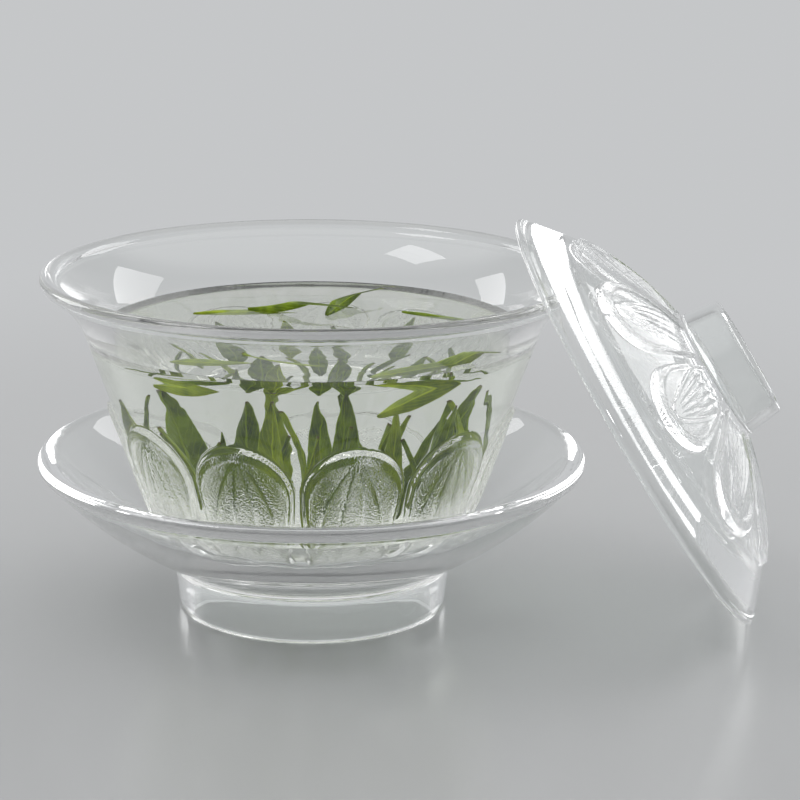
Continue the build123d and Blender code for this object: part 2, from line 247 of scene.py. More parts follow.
# ------------------------------------------------------------------ petals
class Petal:
    """Outline and relief of one lotus petal. across is measured from its middle line and along
    from its foot to its tip, in millimetres."""

    def __init__(self, glass, half, foot, tip, widest, base, lower, veins, line, rough, fade):
        self.half, self.foot, self.tip = half, foot, tip
        self.widest, self.base, self.lower = widest, base, lower
        self.veins, self.line, self.rough, self.fade = veins, line, rough, fade
        self.border, self.band = glass.border_width / MM, glass.tip_band / MM
        self.ridge, self.field, self.vein = glass.ridge_rise / MM, glass.field_rise / MM, glass.vein_rise / MM

    def width(self, along, inset=0.0, band=0.0):
        """Half width at a height, of the outline moved in by inset at the sides and band at the tip."""
        length = self.tip - band - self.foot
        t = (along - self.foot) / length
        half = self.half - inset
        if t >= 1:
            return 0.0
        if t < self.widest:
            return half * (1 - (1 - self.base) * (1 - max(t, -0.2) / self.widest) ** self.lower)
        return half * math.sqrt(max(0.0, 1 - ((t - self.widest) / (1 - self.widest)) ** PETAL_TIP))

    def inside(self, across, along, inset=0.0, band=0.0):
        """About how far a point lies inside that outline; negative outside."""
        w = self.width(along, inset, band)
        dh = w - abs(across)
        if dh <= 0:
            return -1.0
        half = self.half - inset
        length = self.tip - band - self.foot
        reach = self.widest + (1 - self.widest) * (max(0.0, 1 - (across / half) ** 2)) ** (1 / PETAL_TIP)
        dv = self.foot + length * reach - along
        return dh * dv / math.hypot(dh, dv) if dv > 0 else -1.0

    def relief(self, across, along):
        """Height over the glass, and how grainy the surface is, from 0 to 1."""
        d = self.inside(across, along)
        if d < 0:
            return 0.0, 0.0
        deep = self.inside(across, along, self.border, self.band)
        height = self.ridge * step(d, 0.0, 0.6)
        grain = self.rough[0] * step(d, 0.3, 0.8)
        if deep > 0:
            sink = step(deep, 0.0, 0.5)
            # the veins run together at the tip like nested arches
            length = self.tip - self.band - self.foot
            t = min(0.999, max(0.0, (along - self.foot) / length))
            half = self.half - self.border
            left = 1 - t ** ARCH_TIP
            arch = half * left ** ARCH_SIDE
            slope = half * ARCH_SIDE * left ** (ARCH_SIDE - 1) * ARCH_TIP * t ** (ARCH_TIP - 1) / length
            vein = 0.0
            for share in self.veins:
                off = (abs(across) - share * arch) / math.hypot(1, share * slope) / self.line
                vein = max(vein, math.exp(-off * off))
            vein *= step(along, self.foot + 1, self.foot + self.fade)
            height = height * (1 - sink) + (self.field + self.vein * vein * step(deep, 0.1, 0.8)) * sink
            grain = grain * (1 - sink) + self.rough[1] * sink * (1 - 0.85 * vein)
        return height, grain


def press_petals(obj, count, turn, petal, flat, on_skin):
    """Raises count petals on the turned piece with a weighted displacement along its normals.
    flat(vertex) gives (angle, sideways per radian, along), and on_skin says if it's outside."""
    me = obj.data
    pick(obj)
    bpy.ops.object.mode_set(mode="EDIT")
    bpy.ops.mesh.select_mode(type="FACE")
    bpy.ops.mesh.select_all(action="DESELECT")
    edit = bmesh.from_edit_mesh(me)
    # faces are only ever picked, never dropped, so the result doesn't hang on their order
    for face in edit.faces:
        if all(on_skin(v) for v in face.verts):
            face.select_set(True)
    bpy.ops.mesh.subdivide(number_cuts=1)
    bpy.ops.mesh.select_mode(type="VERT")
    bpy.ops.object.mode_set(mode="OBJECT")
    group = obj.vertex_groups.new(name="petals")
    grain = [0.0] * len(me.vertices)
    sector = 2 * math.pi / count
    for v in me.vertices:
        if not on_skin(v):
            continue
        angle = math.atan2(v.co.y, v.co.x) - turn
        angle = (angle + sector / 2) % sector - sector / 2
        across, along = flat(v, angle)
        if not petal.foot - 1 < along < petal.tip:
            continue
        height, rough = petal.relief(across, along)
        if height > 0:
            group.add([v.index], height / 2, "REPLACE")
            grain[v.index] = rough
    me.attributes.new("grain", "FLOAT", "POINT").data.foreach_set("value", grain)
    press = obj.modifiers.new("Petals", "DISPLACE")
    press.direction = "NORMAL"
    press.mid_level = 0.0
    press.strength = 2 * MM
    press.vertex_group = group.name
    apply_modifiers(obj)


# ------------------------------------------------------------------ sections
def bowl_lines():
    """Named points of the bowl's section, in millimetres over the table."""
    lip_z, foot_z, radius = BOWL_BOX[1].z / MM, BOWL_BOX[0].z / MM, BOWL_BOX[1].x / MM
    low = (BOWL_BASE[0], foot_z + BOWL_BASE[1])
    crease = (radius - 0.75, lip_z - BEAD_DROP)
    top_r, top_z = low[0], lip_z - FLARE_START
    for _ in range(60):
        length = math.hypot(top_r - low[0], top_z - low[1])
        way = ((top_r - low[0]) / length, (top_z - low[1]) / length)
        centre = (top_r + FLARE_RADIUS * way[1], top_z - FLARE_RADIUS * way[0])
        top_r -= (math.dist(centre, crease) - FLARE_RADIUS) * 0.8
    return lip_z, foot_z, radius, low, (top_r, top_z), way, centre, crease


def bowl_inside(glass, swell=0.0):
    """Inside of the bowl from the middle of its floor to the crest of its lip."""
    lip_z, foot_z, radius, low, top, way, centre, _ = bowl_lines()
    t = glass.bowl_wall / MM - swell
    lo = (low[0] - t * way[1], low[1] + t * way[0])
    hi = (top[0] - t * way[1], top[1] + t * way[0])
    floor = foot_z + 5.0 - swell
    end = (radius - 3.2, lip_z - 1.65)
    a0 = math.atan2(hi[1] - centre[1], hi[0] - centre[0])
    a1 = math.atan2(end[1] - centre[1], end[0] - centre[0])
    mid = (a0 + a1) / 2
    r_mid = FLARE_RADIUS + t + 0.5 * (math.dist(end, centre) - FLARE_RADIUS - t)
    pts = [(0, floor)] + run((0, floor), (11.0, floor), 3)
    pts += arc((11.0, floor), (21.8 + swell * 0.5, floor + 1.75 - swell * 0.4), lo, 14)
    pts += run(lo, hi, 10)
    pts += arc(hi, (centre[0] + r_mid * math.cos(mid), centre[1] + r_mid * math.sin(mid)), end, 12)
    return pts, end, (radius - BEAD_RADIUS, lip_z)


def bowl_section(glass):
    """The whole bowl, from the middle of its floor over the lip to the middle of its underside."""
    lip_z, foot_z, radius, low, top, _, centre, crease = bowl_lines()
    pts, end, crest = bowl_inside(glass)
    pts += arc(end, (radius - 2.45, lip_z - 0.45), crest, 8)
    out = arc(crest, (radius, lip_z - BEAD_RADIUS), crease, 12)
    soft = run(crease, (crease[0] - 0.35, crease[1] - 0.30))
    a0 = math.atan2(crease[1] - 0.30 - centre[1], crease[0] - 0.35 - centre[0])
    a1 = math.atan2(top[1] - centre[1], top[0] - centre[0])
    mid = (a0 + a1) / 2
    middle = (centre[0] + FLARE_RADIUS * math.cos(mid), centre[1] + FLARE_RADIUS * math.sin(mid))
    flare = arc(soft[0], middle, top, 14)
    start = (23.3, foot_z + 2.6)
    pts += out + soft + flare + run(top, low, 44) + arc(low, (28.4, foot_z + 5.1), start, 14)
    foot = [(22.75, foot_z + 2.45), (22.5, foot_z + 2.0), (22.5, foot_z + 0.5), (22.35, foot_z + 0.15), (22.0, foot_z)]
    recess = [(19.9, foot_z), (19.6, foot_z + 0.12), (19.5, foot_z + 0.4), (19.5, foot_z + 1.1), (19.2, foot_z + 1.45),
              (18.5, foot_z + 1.6), (9.0, foot_z + 1.6), (0, foot_z + 1.6)]
    return pts + foot + recess


def saucer_section(glass):
    """The saucer, from the middle of its well over the lip and foot to the middle of its underside."""
    radius, height = SAUCER_BOX[1].x / MM, SAUCER_BOX[1].z / MM
    low_z, top_r = height - 2.6, SAUCER_FOOT
    a, b = (top_r + 0.6, 9.7), (radius - 0.7, low_z)
    span = math.dist(a, b)
    n = ((b[1] - a[1]) / span, -(b[0] - a[0]) / span)
    mid = ((a[0] + b[0]) / 2, (a[1] + b[1]) / 2)
    t = glass.saucer_wall / MM
    c, well, floor = (26.0, 14.1), 23.4, BOWL_BOX[0].z / MM
    crest, inner = (radius - 1.51, height), (radius - 3.6, height - 0.75)
    pts = [(0, floor)] + run((0, floor), (well - 0.6, floor), 3) + [(well - 0.1, floor + 0.2), (well, floor + 0.7)]
    pts += [(well + 0.1, c[1] - 0.4), (well + 0.5, c[1])] + run((well + 0.5, c[1]), (c[0] - 0.4, c[1]))
    pts += [(c[0], c[1] + 0.12)]
    pts += arc((c[0], c[1] + 0.12), (mid[0] + (1.2 - t) * n[0], mid[1] + (1.2 - t) * n[1]), inner, 26)
    pts += arc(inner, (radius - 2.75, height - 0.2), crest, 6)
    pts += arc(crest, (radius, low_z + 1.3), b, 12)
    pts += [(b[0] - 0.4, b[1] - 0.35)]
    pts += arc((b[0] - 0.4, b[1] - 0.35), (mid[0] + 1.4 * n[0], mid[1] + 1.4 * n[1]), a, 26)
    pts += [(top_r + 0.15, 9.4), (top_r, 8.9)] + run((top_r, 8.9), (25.42, 1.0), 4)
    pts += [(25.36, 0.45), (25.2, 0.12), (24.8, 0), (23.0, 0), (22.5, 0.0), (22.14, 0.12), (22.0, 0.45), (21.98, 0.9)]
    pts += run((21.98, 0.9), (21.6, 6.9), 3) + [(21.4, 7.7), (20.8, 8.3), (19.9, 8.58), (18.5, 8.6), (9, 8.6), (0, 8.6)]
    return pts


def lid_section(glass):
    """The lid upright about its own axis, its rim's middle at height 0."""
    edge, shoulder, crown = LID_EDGE, LID_SHOULDER, LID_CROWN
    mid = LID_BOX[1].y / MM - edge
    ball = (shoulder[0] ** 2 + (crown - shoulder[1]) ** 2) / (2 * (crown - shoulder[1]))
    low_c = crown - ball
    t = glass.lid_wall / MM

    def dome(r, rise=0.0):
        return low_c + math.sqrt((ball + rise) ** 2 - r * r)

    in_sh = (shoulder[0] - t * 0.62, dome(shoulder[0] - t * 0.62, -t))
    rim_in = (mid - edge * 0.96, edge * 0.2)
    a = math.radians(41.2)
    rim_out = (mid + edge * math.cos(a), edge * math.sin(a))
    pts = [(0, dome(0, -t))] + [(r, dome(r, -t)) for r in (1.5, 4, 7, 10, 13, 16, 19, 22, 25, 28, 31)]
    soft = (in_sh[0] - 0.9, dome(in_sh[0] - 0.9, -t))
    pts += [soft] + arc(soft, in_sh, (in_sh[0] + 0.75, in_sh[1] - 0.62), 4)
    pts += run(pts[-1], rim_in, 4)
    pts += arc(rim_in, (mid + edge * 0.2, -edge * 0.98), rim_out, 12)
    pts += run(rim_out, (shoulder[0] + 0.9, shoulder[1] - 0.75), 9)
    pts += arc(pts[-1], shoulder, (shoulder[0] - 1.0, dome(shoulder[0] - 1.0)), 4)
    r, stop = pts[-1][0], 14.4
    rows = 32
    pts += [(r + (stop - r) * i / rows, dome(r + (stop - r) * i / rows)) for i in range(1, rows + 1)]
    pts += arc(pts[-1], (13.35, dome(13.35) + 0.28), (12.86, dome(12.8) + 1.6), 6)
    round_z = KNOB_TOP - KNOB_WALL / 2
    pts += run(pts[-1], (KNOB_RADIUS, round_z), 6)
    pts += arc(pts[-1], (KNOB_RADIUS - KNOB_WALL / 2, KNOB_TOP), (KNOB_RADIUS - KNOB_WALL, round_z), 12)
    pts += run(pts[-1], (10.85, dome(10.85) + 1.2), 5)
    pts += arc(pts[-1], (10.55, dome(10.5) + 0.3), (9.7, dome(9.7)), 5)
    pts += [(r, dome(r)) for r in (7.5, 5, 2.5, 0)]
    return pts


# ------------------------------------------------------------------ materials
def shader(name):
    """A new material with its node tree, its Principled node and a function that adds nodes."""
    mat = bpy.data.materials.new(name)
    mat.use_nodes = True
    tree = mat.node_tree
    base = next(n for n in tree.nodes if n.type == "BSDF_PRINCIPLED")

    def add(kind, **values):
        node = tree.nodes.new(kind)
        for key, value in values.items():
            if key in node.inputs:
                node.inputs[key].default_value = value
            else:
                setattr(node, key.lower().replace(" ", "_"), value)
        return node

    return mat, tree, base, add


def reckon(tree, add, operation, *terms):
    """The result of a Math node whose terms are sockets or plain numbers."""
    node = add("ShaderNodeMath", operation=operation)
    for socket, term in zip(node.inputs, terms):
        if isinstance(term, (int, float)):
            socket.default_value = term
        else:
            tree.links.new(term, socket)
    return node.outputs[0]


def spread(tree, add, value, low, high, to_low=0.0, to_high=1.0):
    """A value carried from the range low to high onto another range."""
    node = add("ShaderNodeMapRange")
    for name, number in (("From Min", low), ("From Max", high), ("To Min", to_low), ("To Max", to_high)):
        node.inputs[name].default_value = number
    tree.links.new(value, node.inputs["Value"])
    return node


def tinge(tree, add, share, under, colour):
    """The colour on the socket under, mixed with a plain colour by share."""
    node = add("ShaderNodeMix", data_type="RGBA")
    first, second = (next(s for s in node.inputs if s.name == n and s.type == "RGBA") for n in "AB")
    second.default_value = (*colour, 1)
    tree.links.new(share, node.inputs[0])
    tree.links.new(under, first)
    return next(s for s in node.outputs if s.type == "RGBA")


def clear_to_lamps(tree, base, add, edge):
    """Lets the lamps' light through, less at the edges, so that glass throws a soft shadow.
    Light that has been caught between the walls for too long goes straight out to the room."""
    out = next(n for n in tree.nodes if n.type == "OUTPUT_MATERIAL")
    path = add("ShaderNodeLightPath")
    late = [reckon(tree, add, "GREATER_THAN", path.outputs[depth], most) for depth, most in LATE]
    caught = reckon(tree, add, "MAXIMUM", *late)
    free = add("ShaderNodeBsdfTransparent")
    body = add("ShaderNodeMixShader")
    tree.links.new(caught, body.inputs[0])
    tree.links.new(base.outputs[0], body.inputs[1])
    tree.links.new(free.outputs[0], body.inputs[2])
    rim = add("ShaderNodeLayerWeight", Blend=0.35)
    ramp = add("ShaderNodeValToRGB")
    ramp.color_ramp.elements[0].color = (0.90, 0.92, 0.91, 1)
    ramp.color_ramp.elements[1].color = (edge, edge, edge, 1)
    see = add("ShaderNodeBsdfTransparent")
    mix = add("ShaderNodeMixShader")
    tree.links.new(rim.outputs["Facing"], ramp.inputs["Fac"])
    tree.links.new(ramp.outputs["Color"], see.inputs["Color"])
    tree.links.new(path.outputs["Is Shadow Ray"], mix.inputs[0])
    tree.links.new(body.outputs[0], mix.inputs[1])
    tree.links.new(see.outputs[0], mix.inputs[2])
    tree.links.new(mix.outputs[0], out.inputs["Surface"])


def glass_material(name, glass, grained, wave_share=1.0):
    """Clear pressed glass with soft waves, and the fine grain of the petals where grained is true."""
    mat, tree, base, add = shader(name)
    base.inputs["Base Color"].default_value = (*glass.tint, 1)
    base.inputs["Transmission Weight"].default_value = 1.0
    base.inputs["IOR"].default_value = GLASS_IOR
    base.inputs["Roughness"].default_value = 0.0
    place = add("ShaderNodeTexCoord")
    slow = add("ShaderNodeTexNoise", Scale=95.0, Detail=1.5)
    wave = add("ShaderNodeBump", Strength=1.0, Distance=glass.wave * wave_share)
    tree.links.new(place.outputs["Object"], slow.inputs["Vector"])
    tree.links.new(slow.outputs["Fac"], wave.inputs["Height"])
    last = wave
    if grained:
        mask = add("ShaderNodeAttribute", attribute_name="grain")
        fine = add("ShaderNodeTexNoise", Scale=2600.0, Detail=1.0)
        grain = add("ShaderNodeBump", Strength=1.0, Distance=glass.grain)
        tree.links.new(place.outputs["Object"], fine.inputs["Vector"])
        cut = reckon(tree, add, "MULTIPLY", fine.outputs["Fac"], mask.outputs["Fac"])
        tree.links.new(cut, grain.inputs["Height"])
        tree.links.new(wave.outputs["Normal"], grain.inputs["Normal"])
        soft = reckon(tree, add, "MULTIPLY", mask.outputs["Fac"], 0.08)
        tree.links.new(soft, base.inputs["Roughness"])
        last = grain
    tree.links.new(last.outputs["Normal"], base.inputs["Normal"])
    clear_to_lamps(tree, base, add, 0.30)
    return mat


def water_material(tea):
    """Pale green tea with a faintly rippled surface."""
    mat, tree, base, add = shader("Green tea")
    base.inputs["Base Color"].default_value = (*tea.tint, 1)
    base.inputs["Transmission Weight"].default_value = 1.0
    base.inputs["IOR"].default_value = WATER_IOR
    base.inputs["Roughness"].default_value = 0.0
    place = add("ShaderNodeTexCoord")
    ripple = add("ShaderNodeTexNoise", Scale=130.0, Detail=1.0, Distortion=0.6)
    bump = add("ShaderNodeBump", Strength=1.0, Distance=0.16 * MM)
    tree.links.new(place.outputs["Object"], ripple.inputs["Vector"])
    tree.links.new(ripple.outputs["Fac"], bump.inputs["Height"])
    tree.links.new(bump.outputs["Normal"], base.inputs["Normal"])
    clear_to_lamps(tree, base, add, 0.8)
    return mat


def leaf_material(name, deep, young):
    """A wet tea leaf: blotches of two greens, pale veins and margin, and a brown tip."""
    mat, tree, base, add = shader(name)
    uv = add("ShaderNodeUVMap")
    place = add("ShaderNodeTexCoord")
    split = add("ShaderNodeSeparateXYZ")
    tree.links.new(uv.outputs["UV"], split.inputs[0])
    # blotches of the two greens
    blotch = add("ShaderNodeTexNoise", Scale=260.0, Detail=3.0)
    blotch.inputs["Distortion"].default_value = 0.4
    tree.links.new(place.outputs["Object"], blotch.inputs["Vector"])
    ramp = add("ShaderNodeValToRGB")
    ramp.color_ramp.elements[0].position = 0.34
    ramp.color_ramp.elements[0].color = (*deep, 1)
    ramp.color_ramp.elements[1].position = 0.66
    ramp.color_ramp.elements[1].color = (*young, 1)
    tree.links.new(blotch.outputs["Fac"], ramp.inputs["Fac"])
    # midrib, slanting side veins and margin, paler
    size = reckon(tree, add, "ABSOLUTE", reckon(tree, add, "SUBTRACT", split.outputs["X"], 0.5))
    near = spread(tree, add, size, 0.015, 0.05, 1.0, 0.0)
    slant = reckon(tree, add, "MULTIPLY_ADD", size, -0.55, split.outputs["Y"])
    sine = reckon(tree, add, "SINE", reckon(tree, add, "MULTIPLY", slant, 75.0))
    veins = spread(tree, add, sine, 0.72, 1.0, 0.0, 0.35)
    margin = spread(tree, add, size, 0.45, 0.49, 0.0, 0.6)
    lines = reckon(tree, add, "MAXIMUM", near.outputs[0], veins.outputs[0])
    pale = (min(1, young[0] * 1.35), min(1, young[1] * 1.3), young[2] * 1.6)
    colour = tinge(tree, add, reckon(tree, add, "MAXIMUM", lines, margin.outputs[0]), ramp.outputs["Color"], pale)
    tip = spread(tree, add, split.outputs["Y"], 0.965, 1.0)
    colour = tinge(tree, add, tip.outputs[0], colour, (0.10, 0.065, 0.008))
    tree.links.new(colour, base.inputs["Base Color"])
    base.inputs["Roughness"].default_value = 0.36
    base.inputs["Specular IOR Level"].default_value = 0.22
    base.inputs["Coat Weight"].default_value = 0.04
    base.inputs["Subsurface Weight"].default_value = 0.15
    base.inputs["Subsurface Radius"].default_value = (0.6 * MM, 1.0 * MM, 0.2 * MM)
    bump = add("ShaderNodeBump", Strength=0.7, Distance=0.12 * MM)
    tree.links.new(lines, bump.inputs["Height"])
    crinkle = add("ShaderNodeTexNoise", Scale=700.0, Detail=2.0)
    rough = add("ShaderNodeBump", Strength=0.8, Distance=0.30 * MM)
    tree.links.new(place.outputs["Object"], crinkle.inputs["Vector"])
    tree.links.new(crinkle.outputs["Fac"], rough.inputs["Height"])
    tree.links.new(bump.outputs["Normal"], rough.inputs["Normal"])
    tree.links.new(rough.outputs["Normal"], base.inputs["Normal"])
    return mat


# ------------------------------------------------------------------ pieces
class GAIWAN_OT_saucer(bpy.types.Operator):
    """Saucer on its tall hollow foot"""

    bl_idname = "gaiwan.saucer"
    bl_label = "Saucer"

    def execute(self, context):
        glass = context.scene.gaiwan_glass
        obj = turned("saucer_glass", saucer_section(glass), 288)
        obj.data.materials.append(glass_material("Clear glass", glass, False))
        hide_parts("saucer")
        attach(obj, "saucer")
        return {"FINISHED"}


class GAIWAN_OT_bowl(bpy.types.Operator):
    """Flared bowl with eleven lotus petals"""

    bl_idname = "gaiwan.bowl"
    bl_label = "Bowl"

    def execute(self, context):
        glass = context.scene.gaiwan_glass
        obj = turned("bowl_glass", bowl_section(glass), BOWL_PETALS * 32)
        foot_z = BOWL_BOX[0].z
        petal = Petal(glass, half=9.2, foot=4.6, tip=28.1, widest=0.62, base=0.75, lower=1.2,
                      veins=(0.28, 0.78), line=0.52, rough=(0.15, 1.0), fade=4)

        def flat(v, angle):
            return math.hypot(v.co.x, v.co.y) / MM * math.sin(angle), (v.co.z - foot_z) / MM

        def on_skin(v):
            out = Vector((v.co.x, v.co.y, 0))
            return v.normal.dot(out) > 0.3 * out.length and foot_z + 3 * MM < v.co.z < foot_z + 29 * MM

        press_petals(obj, BOWL_PETALS, math.pi / 2, petal, flat, on_skin)
        obj.data.materials.append(glass_material("Pressed glass", glass, True, 0.4))
        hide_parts("bowl")
        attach(obj, "bowl")
        return {"FINISHED"}


class GAIWAN_OT_lid(bpy.types.Operator):
    """Domed lid with nine lotus petals and a ring knob, leaning on the bowl"""

    bl_idname = "gaiwan.lid"
    bl_label = "Lid"

    def execute(self, context):
        glass = context.scene.gaiwan_glass
        obj = turned("lid_glass", lid_section(glass), LID_PETALS * 39)
        petal = Petal(glass, half=8.4, foot=11.6, tip=35.3, widest=0.69, base=0.39, lower=1.32,
                      veins=(0.14, 0.42, 0.70), line=0.40, rough=(0.5, 0.2), fade=9)

        def flat(v, angle):
            r = math.hypot(v.co.x, v.co.y) / MM
            return r * math.sin(angle), r * math.cos(angle)

        def on_skin(v):
            r = math.hypot(v.co.x, v.co.y)
            return v.normal.z > 0.4 and 12.95 * MM < r < 37 * MM and v.co.z > 5 * MM

        press_petals(obj, LID_PETALS, math.pi, petal, flat, on_skin)
        edge = LID_EDGE * MM
        mid = LID_BOX[1].y - edge
        centre = Vector((LID_BOX[0].x + edge + mid * math.cos(glass.lean), 0, edge + mid * math.sin(glass.lean)))
        pick(obj)
        obj.rotation_euler = (0, glass.lean, 0)
        obj.location = centre
        bpy.ops.object.transform_apply(location=True, rotation=True, scale=True)
        obj.data.materials.append(glass_material("Pressed glass lid", glass, True))
        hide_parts("lid")
        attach(obj, "lid")
        return {"FINISHED"}


class GAIWAN_OT_tea(bpy.types.Operator):
    """The brewed tea, up to a little under the bowl's flare"""

    bl_idname = "gaiwan.tea"
    bl_label = "Tea"

    def execute(self, context):
        scene = context.scene
        level = (BOWL_BOX[1].z - scene.gaiwan_tea.level) / MM
        wall = bowl_inside(scene.gaiwan_glass, WATER_OVERLAP)[0]
        side = [q for q in wall if q[1] < level + 0.7]
        a, b = side[-1], wall[len(side)]
        share = (level + MENISCUS - a[1]) / (b[1] - a[1])
        rim = (a[0] + (b[0] - a[0]) * share, level + MENISCUS)
        curl = [(rim[0] - x, level + MENISCUS * math.exp(-x / MENISCUS))
                for x in (0.25, 0.55, 0.95, 1.5, 2.3, 3.4, 5.0)]
        section = side + [rim] + curl + run(curl[-1], (0, level), 8)
        obj = turned("tea_water", section, 192)
        obj.data.materials.append(water_material(scene.gaiwan_tea))
        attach(obj, "bowl")
        return {"FINISHED"}


def leaf_blank(name, length, width, fold, teeth):
    """One flat tea leaf that stands along Z from its stalk: a grid narrowed row by row to a lance
    shape, folded up at its midrib by fold, with fine teeth along its edges."""
    columns, rows = 6, 26
    pick_none()
    bpy.ops.mesh.primitive_grid_add(x_subdivisions=columns, y_subdivisions=rows, size=1, location=(0, 0, 0))
    obj = named(name)
    bpy.ops.object.mode_set(mode="EDIT")
    bpy.ops.mesh.select_all(action="SELECT")
    bpy.ops.transform.resize(value=(width, length, 1), center_override=(0, 0, 0))
    bpy.ops.transform.translate(value=(0, length / 2, 0))
    edit = bmesh.from_edit_mesh(obj.data)
    for row in range(rows + 1):
        y = row / rows
        for v in edit.verts:
            v.select_set(abs(v.co.y - y * length) < length / rows / 4)
        edit.select_flush_mode()
        lance = math.sin(math.pi * y ** 0.80) ** 0.85 * (1 - 0.30 * y) * 1.2
        share = max(0.07 * (1 - y), lance) * (1 + teeth * (row % 2)) + 0.004
        bpy.ops.transform.resize(value=(share, 1, 1), center_override=(0, y * length, 0))
    for column in range(1, columns // 2 + 1):
        for v in edit.verts:
            reach = max(abs(u.co.x) for u in edit.verts if abs(u.co.y - v.co.y) < length / rows / 4)
            v.select_set(abs(abs(v.co.x) - reach * column / (columns / 2)) < reach * 0.1)
        edit.select_flush_mode()
        bpy.ops.transform.translate(value=(0, 0, width * fold * (column / (columns / 2)) ** 1.4))
    bpy.ops.mesh.select_all(action="SELECT")
    bpy.ops.object.mode_set(mode="OBJECT")
    obj.data.transform(Matrix.Rotation(math.pi / 2, 4, "X"))
    return obj


def inner_wall(glass):
    """The inside radius of the bowl at a height, both in metres."""
    wall = [q for q in bowl_inside(glass)[0] if q[1] > 0]

    def radius(z):
        z = z / MM
        for (r0, z0), (r1, z1) in zip(wall, wall[1:]):
            if z0 <= z <= z1 and z1 > z0:
                return (r0 + (r1 - r0) * (z - z0) / (z1 - z0)) * MM
        return wall[-1][0] * MM if z > wall[-1][1] else wall[1][0] * MM

    return radius


def blade(blank, mat, at, up, face, scale, bend, twist):
    """A copy of the blank, twisted and bent, and set with its stalk at a point and its tip
    towards up; face turns it about itself."""
    pick_none()
    obj = blank.copy()
    obj.data = blank.data.copy()
    bpy.context.collection.objects.link(obj)
    pick(obj)
    for method, angle, axis in (("TWIST", twist, "Z"), ("BEND", bend, "X")):
        bpy.ops.object.modifier_add(type="SIMPLE_DEFORM")
        deform = obj.modifiers[-1]
        deform.deform_method, deform.angle, deform.deform_axis = method, angle, axis
    bpy.ops.object.modifier_add(type="SOLIDIFY")
    obj.modifiers[-1].thickness = LEAF_THICKNESS * MM
    obj.modifiers[-1].offset = 0
    bpy.ops.object.modifier_add(type="SUBSURF")
    obj.modifiers[-1].levels = obj.modifiers[-1].render_levels = 1
    apply_modifiers(obj)
    tilt = Vector(up).to_track_quat("Z", "Y").to_matrix().to_4x4()
    obj.data.transform(Matrix.Translation(Vector(at)) @ tilt @ Matrix.Rotation(face, 4, "Z") @ Matrix.Scale(scale, 4))
    obj.data.materials.clear()
    obj.data.materials.append(mat)
    return obj


def seat(name, obj, wall, top):
    """Presses a leaf softly inside the bowl's wall and under top, shades it smooth and hangs it on the bowl's body."""
    obj.name = obj.data.name = name
    low = BOWL_BOX[0].z + 5.6 * MM
    for v in obj.data.vertices:
        v.co.z = min(max(v.co.z, low), top)
        r, most = math.hypot(v.co.x, v.co.y), wall(v.co.z) - LEAF_GAP * MM
        if r > most:
            v.co.x, v.co.y = v.co.x * most / r, v.co.y * most / r
    pick(obj)
    bpy.ops.object.shade_smooth()
    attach(obj, "bowl")


